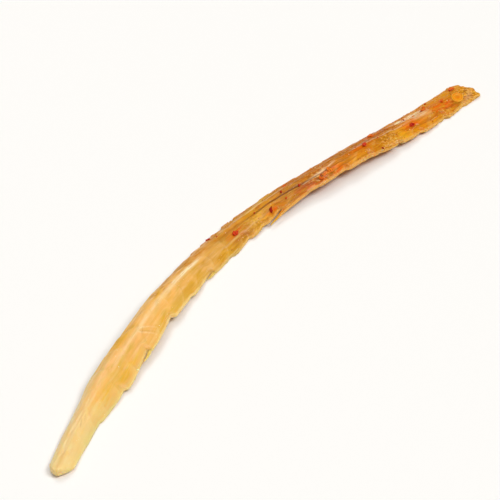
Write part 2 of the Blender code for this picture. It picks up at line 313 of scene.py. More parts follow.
relief = {
    "fibre": 0.07, "fibreLength": 10, "fibreWidth": 0.75,  # long muscle fibres
    "thread": 0.022, "threadLength": 4, "threadWidth": 0.26,
    "crack": 0.16, "crackLength": 15, "crackWidth": 1.5,  # gaps where fibres have parted
    "wrinkle": 0.05, "wrinkleLength": 2.3, "wrinkleWidth": 3.5,
    "crinkle": 0.24, "crinkleSpacing": 1, "crinkleLength": 1.5,  # where skin has dried into small folds
    "crinkleStretch": 1.4,
    "crinkles": (  # share of the length, place across, radius in millimetres, strength
        (0.205, 0.35, 2.5, 0.3), (0.4, 0.2, 3.5, 0.35), (0.56, -0.7, 2.6, 0.5), (0.622, 0.75, 2.6, 0.5),
        (0.682, -0.5, 3, 1), (0.745, 0.15, 2.2, 0.6), (0.81, -0.6, 2.4, 0.8), (0.885, 0.55, 2.8, 0.6),
        (0.93, -0.75, 2, 0.4), (0.985, -0.6, 3, 1),
    ),
    "fringe": 0.26, "fringeLength": 1.1,  # torn edge
    "aged": (0.36, 0.62),  # the shares of the length between which the fibres come out
    "endGrain": 0.20, "endGrainLength": 3, "endGrainWidth": 0.42,
}


def patches(share, across, spots, stretch):
    # soft round patches, drawn out along the fibres
    total = 0 * share
    halfway = along(strip["width"], share) / 2
    for at, side, radius, strength in spots:
        ahead, beside = (share - at) * strip["reach"] / stretch, (across - side) * halfway
        total = total + strength * np.exp(-(ahead ** 2 + beside ** 2) / radius ** 2)
    return np.minimum(total, 1)


def crinkling(share, across):
    return patches(share, across, relief["crinkles"], relief["crinkleStretch"])


def fineRelief(share, across, local, torn, endFace):
    distance, y, z = share * strip["reach"], local[..., 0], local[..., 1]

    def lumps(name, ahead=0, up=0):
        width = relief[name + "Width"]
        return rough(distance / relief[name + "Length"] + ahead, y / width, z / width + up)

    fibres = relief["fibre"] * lumps("fibre") + relief["thread"] * lumps("thread", 7)
    parted = smooth(-0.1, 0.35, rough(distance / 21, y / 4, 2.2))
    cracks = -relief["crack"] * np.maximum(0, 1 - np.abs(lumps("crack", 3)) / 0.035) * parted
    wrinkles = relief["wrinkle"] * lumps("wrinkle", 0, 5)
    tears = rough(distance / relief["fringeLength"], y / 2, z / 0.45)
    tears = tears + 0.6 * rough(distance / relief["fringeLength"] * 2.7, y, z / 0.3 + 9)
    uneven = smooth(-0.3, 0.4, rough(distance / 7, y / 3, 8.8)) * (0.35 + 0.65 * smooth(0.30, 0.55, share))
    fringe = relief["fringe"] * torn * tears * uneven
    endGrain = relief["endGrain"] * endFace * lumps("endGrain")
    folds = rough((distance + 0.6 * y) / relief["crinkleSpacing"], y / relief["crinkleLength"], z + 6.1)
    crinkles = relief["crinkle"] * crinkling(share, across) * (0.3 - np.abs(folds)) * 1.6
    aged = smooth(*relief["aged"], share)
    inner = (0.5 + 1.2 * aged) * fibres + wrinkles + crinkles + cracks * (0.2 + 0.8 * aged)
    return inner * (1 - endFace) + fringe + endGrain


# Building blocks of the node trees

class Nodes:
    # one tree; an input is a value or another node's output, and each call gives back an output

    def __init__(self, tree):
        self.tree = tree

    def add(self, kind, inputs=None, output=0, **settings):
        made = self.tree.nodes.new(kind)
        for name, value in settings.items():
            setattr(made, name, value)
        for name, value in (inputs or {}).items():
            if isinstance(value, bpy.types.NodeSocket):
                self.tree.links.new(value, made.inputs[name])
            else:
                made.inputs[name].default_value = value
        return made.outputs[output]

    def calc(self, operation, *values):
        return self.add("ShaderNodeMath", dict(enumerate(values)), operation=operation)

    def times(self, product, *others):
        for other in others:
            product = self.calc("MULTIPLY", product, other)
        return product

    def swing(self, value, low, high):
        # from low to high as the value goes from 0 to 1
        return self.calc("MULTIPLY_ADD", value, high - low, low)

    def between(self, value, low, high):
        # 0 below low, 1 above high and a smooth rise between them
        values = {0: value, 1: low, 2: high}
        return self.add("ShaderNodeMapRange", values, interpolation_type="SMOOTHSTEP")

    def vector(self, operation, *values):
        return self.add("ShaderNodeVectorMath", dict(enumerate(values)), operation=operation)

    def scaled(self, vector, size):
        return self.add("ShaderNodeVectorMath", {0: vector, "Scale": size}, operation="SCALE")

    def xyz(self, x=0.0, y=0.0, z=0.0):
        return self.add("ShaderNodeCombineXYZ", {0: x, 1: y, 2: z})

    def noise(self, place, scale, detail, output=0):
        return self.add("ShaderNodeTexNoise", {"Vector": place, "Scale": scale, "Detail": detail}, output)

    def attribute(self, name, output="Fac"):
        return self.add("ShaderNodeAttribute", output=output, attribute_name=name)

    def place(self):
        return self.add("ShaderNodeTexCoord", output="Object")

    def blend(self, amount, low, high, how="MIX"):
        values = {0: amount, 6: low, 7: high}
        return self.add("ShaderNodeMix", values, 2, data_type="RGBA", blend_type=how)

    def palette(self, value, stops):
        # a colour ramp from places, 0 to 1, and screen colours
        result = self.add("ShaderNodeValToRGB", {0: value})
        elements = result.node.color_ramp.elements
        for place, colour in stops[1:-1]:
            elements.new(place).color = tone(*colour)
        elements[0].color, elements[-1].color = tone(*stops[0][1]), tone(*stops[-1][1])
        return result

    def wire(self, **links):
        # Base_Color=socket and so on
        for name, value in links.items():
            self.tree.links.new(value, self.shader.inputs[name.replace("_", " ")])

    def bump(self, height, depth, strength):
        values = {"Height": height, "Distance": depth * mm, "Strength": strength}
        normal = self.add("ShaderNodeBump", values)
        self.wire(Normal=normal)
        return normal


def tone(red, green, blue):
    # a colour as a screen shows it, 0 to 255, in the shader's linear values
    return (*(((c / 255 + 0.055) / 1.055) ** 2.4 for c in (red, green, blue)), 1)


def newMaterial(name, look):
    # what a look has as one number is the same all over and is set on the shader here
    material = bpy.data.materials.new(name)
    material.use_nodes = True
    nodes = Nodes(material.node_tree)
    nodes.shader = material.node_tree.nodes["Principled BSDF"]
    for key, socket, unit in (
        ("roughness", "Roughness", 1), ("gloss", "Specular IOR Level", 1), ("coat", "Coat Weight", 1),
        ("coatRoughness", "Coat Roughness", 1), ("glow", "Subsurface Weight", 1),
        ("glowDepth", "Subsurface Scale", mm),
    ):
        if isinstance(look.get(key), (int, float)):
            nodes.shader.inputs[socket].default_value = look[key] * unit
    return material, nodes


# Flesh: pale straw at the blunt end, honey and amber further on, seasoned orange at the far end

fleshLook = {
    "palette": (
        (0.00, (248, 211, 146)), (0.10, (245, 204, 128)), (0.20, (226, 182, 78)), (0.34, (218, 171, 74)),
        (0.43, (217, 162, 58)), (0.52, (208, 146, 34)), (0.64, (204, 134, 14)), (0.76, (202, 124, 8)),
        (0.88, (214, 138, 14)), (1.00, (230, 160, 30)),
    ),
    "aged": (0.36, 0.60),  # the shares of the length between which fresh flesh turns into aged flesh
    "wander": 0.14, "layerWander": 0.035,  # how far patches and layers of one tone reach into the next
    "cutSideShade": (238, 194, 94), "cutSideShadeDepth": 0.85,  # painted shade: a deeper amber on the facet of the smooth cut edge
    # amber is a deeper tone, and painted shade round the seed and in the torn gap
    "oil": (228, 104, 4), "gold": (240, 178, 32), "olive": (182, 138, 28), "amber": (152, 80, 8),
    "blush": (246, 192, 126), "tan": (220, 144, 54),  # the same patches, where the flesh is fresh and aged: a pinkish tone, and along the ridge of the fresh half a painted sheen
    # frost is whitish dried fibre together with painted highlights
    # milk is a milky tone that is partly a painted sheen
    "darkFibre": (158, 88, 6), "paleFibre": (242, 178, 58), "frostAndHighlight": (254, 228, 184), "milk": (250, 214, 150),
    # crease is painted shade in the folds of crinkled skin; crumpled is the pale fold tops, dried skin with a
    # painted highlight
    "peach": (250, 192, 112), "creaseShade": (146, 92, 14), "crumpledSkinAndHighlight": (250, 206, 112),
    # crystal is white specks: salt crystals and painted glints
    # gap is painted shade in grooves and gaps, and dark scratch marks
    # thinEdgeGlow and agedEdgeGlow are a pale rim, painted light shining through thin flesh
    "speck": (190, 40, 2), "crystalAndGlint": (255, 238, 204), "gap": (104, 44, 2), "thinEdgeGlow": (255, 208, 140),
    "agedEdgeGlow": (246, 182, 98),
    # noise drawn out along the fibres: its length and width in millimetres, its detail and start,
    # then the values between which a colour comes in, and its strength
    "streaks": {
        "wander": (17, 4.5, 2, 3.1), "patch": (3.4, 1.1, 3, 5.7, 0.34, 0.60, 1),
        "peach": (9, 3.2, 2, 7.7, 0.44, 0.62, 0.6), "milk": (11, 0.9, 3, 4.4, 0.46, 0.72, 0.4),
        "lip": (2.5, 1.2, 2, 1.9, 0.35, 0.6, 1), "edge": (3, 1.5, 2, 6.6, 0.94, 1.04, 0.75),
        "darkFibre": (8, 0.60, 3, 0, 0.50, 0.34, 1), "paleFibre": (4.5, 0.32, 2, 9.3, 0.54, 0.70, 1),
        "creaseShade": (0.8, 0.6, 2, 3.7, 0.48, 0.38, 0.7), "crumpledSkinAndHighlight": (0.8, 0.6, 2, 3.7, 0.54, 0.64, 0.6),
        "frostAndHighlight": (4, 0.4, 3, 2.2, 0.30, 0.54, 1), "speck": (0.42, 0.34, 1, 8.8, 0.70, 0.75, 1),
        "crystalAndGlint": (0.45, 0.40, 1, 5.1, 0.735, 0.77, 1), "crystalAndGlintPatch": (9, 3, 1, 0.6, 0.42, 0.56, 1),
        "dull": (7, 1.1, 3, 6), "pore": (0.7, 0.30, 2, 1.4),
    },
    # strengths in fresh flesh and in aged flesh
    "darkFibreShare": (0.04, 0.41), "paleFibreShare": (0.10, 0.38), "lipShare": (0.25, 0.15),
    "grainDepth": (0.45, 0.95), "glow": (0.90, 0.60),
    "freshFrostAndHighlight": 0.6,  # how little the frost and painted highlight break up in fresh flesh
    "peachLayers": 0.12, "edgeWaver": 0.12, "poreDepth": 0.5, "frostAndHighlightDulls": 0.3,
    "roughness": (0.24, 0.52), "dull": (0.3, 0.75), "gloss": 0.05,  # the range, and the noise that sets it
    "coat": (0.24, 0.024), "coatRoughness": 0.13,  # the weight on the flesh and on the cut side
    "glowDepth": 2.6, "glowColour": (1.0, 0.70, 0.40), "bump": (0.12, 0.9),
}


def makeFleshMaterial():
    look = fleshLook
    material, n = newMaterial("dried_flesh", look)
    place, share = n.attribute("flesh", "Vector"), n.attribute("share")
    layer, facet = n.attribute("layer"), n.attribute("facet")
    aged = n.between(share, *look["aged"])
    fresh = n.calc("SUBTRACT", 1.0, aged)

    def streaks(name):
        length, width, detail, start = look["streaks"][name][:4]
        perMetre = (1 / (length * mm), 1 / (width * mm), 1 / (width * mm))
        return n.noise(n.vector("MULTIPLY_ADD", place, perMetre, (start, start, start)), 1.0, detail)

    def showing(name, value=None):
        # how much a colour shows where its streaks, or a value made from them, come in
        low, high, strength = look["streaks"][name][4:]
        shown = n.between(streaks(name) if value is None else value, low, high)
        return shown if strength == 1 else n.times(shown, strength)

    def over(colour, name, *amounts):
        return n.blend(n.times(*amounts), colour, tone(*look[name]))

    wander = n.swing(streaks("wander"), -look["wander"], look["wander"])
    wander = n.calc("MULTIPLY_ADD", layer, look["layerWander"], wander)
    colour = n.palette(n.calc("ADD", share, wander), look["palette"])
    # painted shade: the cut-side facet is darkened towards a deeper amber
    colour = n.blend(n.times(facet, look["cutSideShadeDepth"]), colour, tone(*look["cutSideShade"]), "MULTIPLY")

    breaks = showing("patch")
    # the dark amber patches round the seed and in the torn gap are painted shade
    tints = {name: tone(*look[name]) for name in ("olive", "gold", "oil", "amber")}
    # blush: a pinkish tone, and a painted sheen along the ridge of the fresh half
    tints["blush"] = n.blend(aged, tone(*look["blush"]), tone(*look["tan"]))
    for name in ("olive", "blush", "gold", "amber", "oil"):
        colour = n.blend(n.times(n.attribute(name), breaks), colour, tints[name])

    peach = showing("peach", n.calc("MULTIPLY_ADD", layer, look["peachLayers"], streaks("peach")))
    colour = over(colour, "peach", peach, fresh)
    # milky streaks over the fresh flesh, partly a painted sheen
    colour = over(colour, "milk", showing("milk"), fresh)
    lipShare = n.swing(aged, *look["lipShare"])
    # painted light shining through the thin lip of each layer
    colour = over(colour, "thinEdgeGlow", n.attribute("lip"), showing("lip"), lipShare)
    for name in ("darkFibre", "paleFibre"):
        colour = over(colour, name, showing(name), n.swing(aged, *look[name + "Share"]))

    # a pale rim along the edges: painted light shining through the thin flesh
    rim = n.blend(aged, tone(*look["thinEdgeGlow"]), tone(*look["agedEdgeGlow"]))
    wavering = n.calc("MULTIPLY_ADD", streaks("edge"), look["edgeWaver"], n.attribute("edge"))
    colour = n.blend(showing("edge", wavering), colour, rim)
    # painted shade in the folds of crinkled skin, and pale dried fold tops with a painted highlight
    for name in ("creaseShade", "crumpledSkinAndHighlight"):
        colour = over(colour, name, showing(name), n.attribute("crinkled"))
    # frost: whitish dried fibres, with painted highlights on the ridge and folds and painted light near the
    # blunt end
    breaks = n.calc("MAXIMUM", n.times(fresh, look["freshFrostAndHighlight"]), showing("frostAndHighlight"))
    frostAndHighlight = n.times(n.attribute("frostAndHighlight"), breaks)
    colour = over(colour, "frostAndHighlight", frostAndHighlight)
    colour = over(colour, "speck", showing("speck"), n.attribute("seasoned"))
    # white specks: salt crystals and painted glints
    colour = over(colour, "crystalAndGlint", showing("crystalAndGlint"), showing("crystalAndGlintPatch"))
    # painted shade in grooves and gaps, with short dark scratch marks
    colour = over(colour, "gap", n.attribute("gap"))

    dull = n.calc("ADD", streaks("dull"), n.times(frostAndHighlight, look["frostAndHighlightDulls"]))
    ends = (*look["dull"], *look["roughness"])
    roughness = n.add("ShaderNodeMapRange", {0: dull, **dict(enumerate(ends, 1))})
    n.wire(Base_Color=colour, Roughness=roughness, Coat_Weight=n.swing(facet, *look["coat"]))
    n.wire(Subsurface_Weight=n.swing(aged, *look["glow"]))
    n.shader.inputs["Subsurface Radius"].default_value = look["glowColour"]
    fibres = n.calc("ADD", streaks("paleFibre"), streaks("darkFibre"))
    fibres = n.times(fibres, n.swing(aged, *look["grainDepth"]))
    wet = n.bump(n.calc("MULTIPLY_ADD", streaks("pore"), look["poreDepth"], fibres), *look["bump"])
    n.wire(Coat_Normal=wet)
    return material


# The strip of flesh

fields = {
    "comesIn": {  # the shares of the length between which each of these comes in
        "ragged": (0.08, 0.2), "facet": (0.08, 0.24), "fullFacet": (0.24, 0.36), "farFacet": (0.42, 0.58),
        "seasoned": (0.42, 0.85), "crinkled": (0.45, 0.6), "crumbly": (0.45, 0.6), "frayed": (0.5, 0.7),
        "splitShade": (0.5, 0.62),
    },
    "facetEdge": (-0.30, 0.02),  # where the cut side's painted shade starts and is deepest, from the crest
    "facetFade": 0.27,  # how much less painted shade it gets in the far half
    "freshFacet": 0.35,  # how much painted shade it gets near the blunt end, as a share of its full strength
    "splitShadeWidth": 0.07,  # half width of the painted shade line in a groove
    "plainCutEdge": 0.09,  # how far the cut edge falls short of the pale rim, painted light through thin flesh, that the torn one has
    "frostAndHighlightBands": (  # whitish dried fibres and painted highlights: course as share of the length and place across, then half width and strength
        ((0.26, 0.12), (0.269, -0.33), (0.274, -0.8), 0.08, 0.6),
        ((0.268, 0.2), (0.279, -0.2), (0.286, -0.7), 0.06, 0.5),
        # painted highlight along the ridge of the fresh half
        ((0.19, 0.16), (0.3, 0.2), (0.43, 0.12), 0.13, 0.55),
        ((0.37, 0.24), (0.41, 0.18), (0.45, 0.1), 0.1, 1),
        # painted highlight in the far half
        ((0.655, -0.4), (0.69, -0.3), (0.72, -0.18), 0.07, 0.8),
        ((0.838, 0.62), (0.86, 0.46), (0.885, 0.44), (0.91, 0.36), 0.085, 1.25),
        ((0.85, 0.42), (0.88, 0.12), (0.91, -0.15), 0.3, 0.6),
        ((0.5, 0.52), (0.58, 0.3), (0.66, 0.16), 0.06, 0.45),
        ((0.73, -0.08), (0.82, -0.22), (0.9, -0.18), 0.05, 0.45),
        ((0.44, -0.3), (0.53, -0.52), (0.6, -0.62), 0.06, 0.25),
        ((0.965, -0.85), (0.985, -0.62), (1, -0.4), 0.15, 0.2),
        # painted light on the shaded cut side near the blunt end
        ((0.01, 0.8), (0.1, 0.85), (0.21, 0.8), 0.18, 0.55),
    ),
    "scratchesAndGapShade": (  # the same, for short dark scratch marks and painted shade in the gaps by the torn edge
        ((0.264, 0.05), (0.273, -0.35), (0.278, -0.8), 0.06, 0.22),
        ((0.08, -0.1), (0.088, 0), (0.096, 0.12), 0.03, 0.35),
        ((0.092, -0.16), (0.098, -0.06), (0.104, 0.02), 0.025, 0.25),
        ((0.262, -0.1), (0.268, -0.02), (0.273, 0.06), 0.025, 0.25),
        ((0.64, -0.62), (0.668, -0.68), (0.69, -0.6), 0.06, 0.55),
        ((0.615, -0.46), (0.64, -0.5), (0.665, -0.52), 0.035, 0.35),
    ),
    # patches of another tone: share of the length, place across, radius in millimetres, strength
    # pinkish patches; those along the ridge of the fresh half are a painted sheen
    "blush": (
        (0.045, -0.1, 2, 0.4), (0.11, 0.55, 2.6, 0.7), (0.175, 0.42, 2.4, 0.9), (0.215, 0.22, 2, 0.8),
        (0.265, 0.02, 2.4, 0.9), (0.31, 0.12, 2, 0.6), (0.36, 0.18, 2.2, 0.7), (0.435, -0.1, 2.6, 0.5),
        (0.465, 0.5, 2.2, 0.45), (0.525, 0.74, 2.4, 0.7), (0.535, 0.2, 1.8, 0.5), (0.61, 0, 2, 0.5),
        (0.69, 0.45, 2.4, 0.3), (0.82, 0.3, 2, 0.6), (0.912, 0.7, 3.2, 0.9), (0.76, 0.75, 2.4, 0.25),
    ),
    "gold": (
        (0.15, -0.35, 2.4, 0.7), (0.205, -0.6, 2.4, 0.7), (0.23, 0.75, 2.2, 0.6), (0.27, 0.75, 2.2, 0.6),
        (0.33, 0.78, 2.6, 0.7), (0.3, -0.55, 2.2, 0.5), (0.34, -0.05, 1.8, 0.5), (0.39, -0.6, 2.6, 0.2),
        (0.485, -0.75, 2, 0.5), (0.565, -0.7, 2.4, 1), (0.57, 0.35, 2.2, 0.6), (0.605, 0.75, 2, 0.6),
        (0.74, -0.75, 1.8, 0.7), (0.79, 0.05, 2, 0.5), (0.845, -0.65, 2.6, 1), (0.91, -0.65, 2.6, 0.8),
        (0.955, 0, 2.6, 0.6), (0.985, 0.4, 3, 0.6),
    ),
    "olive": (
        (0.325, 0.6, 2.2, 0.4), (0.345, 0.85, 2.2, 0.4), (0.385, 0.56, 2.2, 0.4), (0.42, 0.7, 2.6, 0.5),
        (0.47, 0.2, 2.6, 0.5), (0.52, 0.5, 2.6, 0.4), (0.5, -0.2, 1.8, 0.4), (0.59, 0.45, 2.2, 0.5),
        (0.64, -0.15, 2, 0.5), (0.72, 0.2, 2.2, 0.4),
    ),
    # deeper amber patches; those round the seed and in the gap by the torn edge are painted shade
    "amber": (
        (0.53, -0.62, 2.2, 0.6), (0.668, -0.66, 2.6, 1), (0.715, 0.6, 2.4, 0.4), (0.8, 0.2, 3, 0.9),
        (0.812, 0.6, 2.4, 0.7), (0.755, -0.1, 2, 0.4), (0.962, -0.4, 3, 0.9), (0.925, -0.45, 1.6, 0.5),
    ),
    "oil": (
        (0.52, -0.32, 1.3, 0.8), (0.6, -0.82, 1.2, 0.6), (0.655, -0.9, 1.6, 0.8), (0.7, -0.86, 2.4, 1),
        (0.752, -0.4, 1.6, 0.5), (0.8, 0.48, 1.3, 0.5), (0.862, -0.45, 1.8, 0.8), (0.93, 0.05, 1.5, 0.5),
        (0.932, -0.38, 1.9, 1), (0.905, -0.75, 2.4, 0.5), (0.975, -0.8, 1.6, 0.25),
    ),
    "bleed": 0.75, "bleedStrength": 0.7,  # how far oil spreads from a flake, as a share of its size
    "patchStretch": 2.2,  # patches run along the fibres
    "crumblyAt": ((0.185, 0.025, 0.8), (0.575, 0.06, 1), (0.985, 0.03, 0.9)),  # share, spread, strength
    "crumblyElsewhere": 0.25,
}


def bands(share, across, rows):
    return sum(strength * band(share, across, course, width) for *course, width, strength in rows)


def surfaceFields(share, across, rise):
    # what the materials and the scattering need to know at each place of the surface
    upper = smooth(-0.2, 0.4, rise)
    come = {name: smooth(*ends, share) for name, ends in fields["comesIn"].items()}
    clumps = smooth(-0.25, 0.45, rough(share * strip["reach"] / 6, across * 1.6, 3.3))
    clumped = 0.3 + 0.7 * clumps
    ragged = smooth(0.62, 0.92, -across) * come["ragged"]
    rims = np.maximum(smooth(0.66, 0.92, -across), 0.6 * smooth(0.74, 0.95, across))
    nearness = sum(gain * bell(share, at, width) for at, width, gain in fields["crumblyAt"])
    crumbly = rims * (nearness + fields["crumblyElsewhere"] * come["crumbly"])
    run = fromCrest(share, across)
    phase = layerPhase(share, across, run)
    lip = smooth(0.55, 0.88, phase % 1) * smooth(1.0, 0.92, phase % 1)
    # painted shade: a dark line along the deeper grooves
    splitShade = smooth(0.22, 0.52, grooveDepth(share, across, fields["splitShadeWidth"])) * come["splitShade"]
    first, last = (along(strip["crestPlace"], share) + edge for edge in fields["facetEdge"])
    fromFar = 1 - fields["facetFade"] * come["farFacet"]
    darkening = fields["freshFacet"] + (1 - fields["freshFacet"]) * come["fullFacet"]
    bare = fields["plainCutEdge"] * (1 - 0.8 * smooth(0.13, 0.18, share) * smooth(0.42, 0.36, share))
    found = {
        "share": share,
        "edge": np.abs(across) - bare * (across > 0) * np.clip(1 - nearness, 0, 1),
        "layer": rough(np.floor(phase) * 3.7, 0.5, 0.5) * 1.6,
        # the thin lips of the layers, where painted light shows through
        "lip": lip * upper * smooth(0.10, 0.30, run),
        # where painted shade darkens the cut side, and where the coat is thinned
        "facet": smooth(first, last, across) * come["facet"] * fromFar * darkening,
        # whitish dried fibres and painted highlights
        "frostAndHighlight": np.minimum(bands(share, across, fields["frostAndHighlightBands"]), 1) * upper,
        "crinkled": crinkling(share, across) * upper * come["crinkled"],
        # painted shade in grooves and gaps, with scratch marks
        "gap": np.minimum(1, splitShade + bands(share, across, fields["scratchesAndGapShade"])) * upper * 0.8,
        "seasoned": come["seasoned"] * (0.25 + 0.75 * clumps) * (0.15 + 0.85 * upper),
        "frayed": np.maximum(ragged, 0.25 * come["frayed"]) * clumped * (0.2 + 0.8 * upper),
        "crumbly": crumbly * clumps,
        "ragged": smooth(0.90, 0.99, -across) * come["ragged"] * clumped,
    }
    bled = [
        (at, side, size * fields["bleed"], fields["bleedStrength"]) for at, side, size, tint in flakes["each"]
    ]
    spots = {name: fields[name] for name in ("blush", "gold", "olive", "amber")}
    spots["oil"] = (*fields["oil"], *bled)
    for name, each in spots.items():
        found[name] = patches(share, across, each, fields["patchStretch"]) * (0.35 + 0.65 * upper)
    return found


def makeStrip(material):
    share, size = stationRows()
    rows, ring = len(share), strip["ringPoints"]
    angle = ringAngles(ring)
    fromTop = np.abs(angle) / pi
    upper = fromTop <= strip["upperShare"]
    toEdge = np.where(upper, fromTop / strip["upperShare"], (1 - fromTop) / (1 - strip["upperShare"]))
    across = np.sign(angle) * np.sin(toEdge * pi / 2)
    rise = fullness(across) * np.where(upper, 1, -1)
    share, across = np.meshgrid(share, across, indexing="ij")
    size, rise = np.broadcast_to(size[:, None], share.shape), np.broadcast_to(rise, share.shape)

    points = skinPoint(share, across, rise, size)
    across = across * size
    local = [across * along(strip["width"], share) / 2, rise * size * along(strip["crest"], share) / 2]
    local = np.stack(local, -1)
    endFace = 1 - smooth(0.15, 0.75, np.minimum(share, 1 - share) * strip["reach"])
    torn = smooth(0.70, 0.95, -across)
    points = points + outward(points) * fineRelief(share, across, local, torn, endFace)[..., None]
    points[..., 2] = np.maximum(points[..., 2], 0)

    heading = np.gradient(points, axis=0)
    heading /= np.maximum(np.linalg.norm(heading, axis=2, keepdims=True), 1e-9)
    piece = makePiece("cod_strip_flesh", closed(points), tubeFaces(rows, ring), material)
    paint(piece, "flesh", closed(np.concatenate([(share * strip["reach"])[..., None], local], -1) * mm))
    paint(piece, "heading", closed(heading))
    clear = smooth(0.4, 1.0, points[..., 2])  # nothing is scattered where the strip meets the table
    for name, value in surfaceFields(share, across, rise).items():
        scattering = name in ("seasoned", "frayed", "crumbly", "ragged")
        paint(piece, name, closed(value * clear if scattering else value))
    return piece


# Slivers of flesh that stand off the torn edge

slivers = {
    "each": (  # share of the length at the root, length (below 0 it runs on), thickness, the tip's distance
        (0.258, 6, 0.9, -0.55), (0.449, 5.5, 0.9, -0.6), (0.675, 20, 1.5, 1.1), (0.778, -8, 1.2, -0.1),
    ),
    "ring": 20, "stations": 90, "root": 1.4, "swell": (0.12, 0.82),
    "relief": 0.07, "reliefLength": 3.0,
}


def makeSlivers(material):
    ring, rows = slivers["ring"], slivers["stations"]
    t, angle = np.meshgrid(np.linspace(0, 1, rows), ringAngles(ring), indexing="ij")
    points, faces, painted = [], [], {}
    for root, length, thickness, standOff in slivers["each"]:
        turned = angle if length < 0 else -angle  # so that the faces look outwards
        sideward, upward = np.sin(turned), np.cos(turned)
        share = root - t * length / strip["reach"]
        first, spread = slivers["swell"]
        radius = thickness / 2 * np.sin(pi * (first + spread * t ** 0.7))
        out = along(strip["width"], share) / 2 - slivers["root"] * (1 - t) ** 2 + standOff * t ** 1.5
        across = -(out - sideward * radius) / halfWidth(share, -1 + 0 * share)
        grid = placed(share, across, strip["middle"] * upperFace(share, -1 + 0 * share) + upward * radius)
        distance = share * strip["reach"]
        lumps = rough(distance / slivers["reliefLength"], sideward * 2.5, upward * 2.5)
        grid = grid + outward(grid) * (slivers["relief"] * lumps * np.sin(pi * t))[..., None]
        faces += tubeFaces(rows, ring, sum(len(part) for part in points))
        points.append(closed(grid))
        values = surfaceFields(share, np.clip(across, -1, 1), upward)
        values["edge"] = 0.7 + 0.3 * np.abs(sideward)
        local = np.stack([sideward * thickness / 2, upward * thickness / 2 + root * 90], -1)
        values["flesh"] = np.concatenate([distance[..., None], local], -1) * mm
        for name, value in values.items():
            painted.setdefault(name, []).append(closed(value))
    piece = makePiece("torn_slivers", np.vstack(points), faces, material)
    for name, parts in painted.items():
        paint(piece, name, np.concatenate(parts))
    return piece


# Trees that make the many small things on the strip

lengths = (
    "smallest", "largest", "shortest", "longest", "thickness", "curl", "curlWidth",
    "crumple", "crumpleWidth", "crinkle", "crinkleWidth",
)
angles = ("tilt", "spin")


def treeInputs(sizes):
    # the names and values of a tree's inputs, in metres and radians
    values = {}
    for key, value in sizes.items():
        label = "".join(" " + letter if letter.isupper() else letter for letter in key).title()
        values[label] = value * mm if key in lengths else radians(value) if key in angles else value
    return values


def newTree(name, sizes):
    # a tree with an input for each size
    tree = bpy.data.node_groups.new(name, "GeometryNodeTree")
    tree.is_modifier = True
    tree.interface.new_socket("Geometry", in_out="OUTPUT", socket_type="NodeSocketGeometry")
    kinds = {"Geometry": "Geometry", "Material": "Material"}
    for label, value in treeInputs(sizes).items():
        kinds[label] = {float: "Float", int: "Int", str: "String"}[type(value)]
    for label, kind in kinds.items():
        tree.interface.new_socket(label, in_out="INPUT", socket_type="NodeSocket" + kind)
    nodes = Nodes(tree)
    nodes.given = tree.nodes.new("NodeGroupInput").outputs
    return nodes


def finishTree(n, geometry):
    values = {"Geometry": geometry, "Shade Smooth": True}
    values = {"Geometry": n.add("GeometryNodeSetShadeSmooth", values), "Material": n.given["Material"]}
    painted = n.add("GeometryNodeSetMaterial", values)
    n.tree.links.new(painted, n.tree.nodes.new("NodeGroupOutput").inputs[0])
    return n.tree


def named(n, name, kind="FLOAT"):
    return n.add("GeometryNodeInputNamedAttribute", {"Name": name}, data_type=kind)


def chance(n, low, high, seed):
    # a different number for each point, or a different direction where low and high are directions
    if isinstance(low, tuple):
        return n.add("FunctionNodeRandomValue", {0: low, 1: high, 8: seed}, data_type="FLOAT_VECTOR")
    return n.add("FunctionNodeRandomValue", {2: low, 3: high, 8: seed}, 1, data_type="FLOAT")


def spread(n):
    # points on the carrier, as dense as one of its attributes says
    density = n.times(n.given["Per Square Centimetre"], 10000.0, named(n, n.given["Where"]))
    values = {"Mesh": n.given["Geometry"], "Density": density, "Seed": n.given["Seed"]}
    return n.add("GeometryNodeDistributePointsOnFaces", values, distribute_method="RANDOM").node.outputs


def aligned(n, up, ahead):
    return n.add("FunctionNodeAxesToRotation", {0: up, 1: ahead}, primary_axis="Z", secondary_axis="X")


def turned(n, rotation, turns):
    turn = n.add("FunctionNodeEulerToRotation", {0: turns})
    return n.add("FunctionNodeRotateRotation", {0: rotation, 1: turn}, rotation_space="LOCAL")


def realized(n, points, shape, rotation, scale, seed=None):
    # a shape at each point as real geometry; with a seed each one gets a number for its colour
    values = {"Points": points, "Instance": shape, "Rotation": rotation, "Scale": scale}
    made = n.add("GeometryNodeInstanceOnPoints", values)
    if seed:
        values = {"Geometry": made, "Name": "tint", "Value": chance(n, 0.0, 1.0, seed)}
        made = n.add("GeometryNodeStoreNamedAttribute", values, data_type="FLOAT", domain="INSTANCE")
    return n.add("GeometryNodeRealizeInstances", {0: made})


def moved(n, geometry, offset):
    return n.add("GeometryNodeSetPosition", {"Geometry": geometry, "Offset": offset})


def crumple(n, geometry, name):
    # moves the points by noise, with the amount and the width of its lumps from two inputs
    noiseScale = n.calc("DIVIDE", 1.0, n.given[name + " Width"])
    lumps = n.noise(n.add("GeometryNodeInputPosition"), noiseScale, 1.0, 1)
    offset = n.scaled(n.vector("SUBTRACT", lumps, (0.5, 0.5, 0.5)), n.given[name])
    return moved(n, geometry, offset)


def shard(n):
    # a thin disc with a curled-up rim, one unit across and one thick before it is scaled
    values = {"Vertices": n.given["Sides"], "Fill Segments": n.given["Rings"], "Radius": 0.5, "Depth": 1.0}
    disc = n.add("GeometryNodeMeshCylinder", {"Side Segments": 1, **values})
    x = n.add("ShaderNodeSeparateXYZ", {0: n.add("GeometryNodeInputPosition")})
    lift = n.times(x, x, 4.0, n.given["Cup"])
    return moved(n, disc, n.xyz(z=lift))


def grain(n):
    return n.add("GeometryNodeMeshIcoSphere", {"Radius": 0.5, "Subdivisions": n.given["Subdivisions"]})


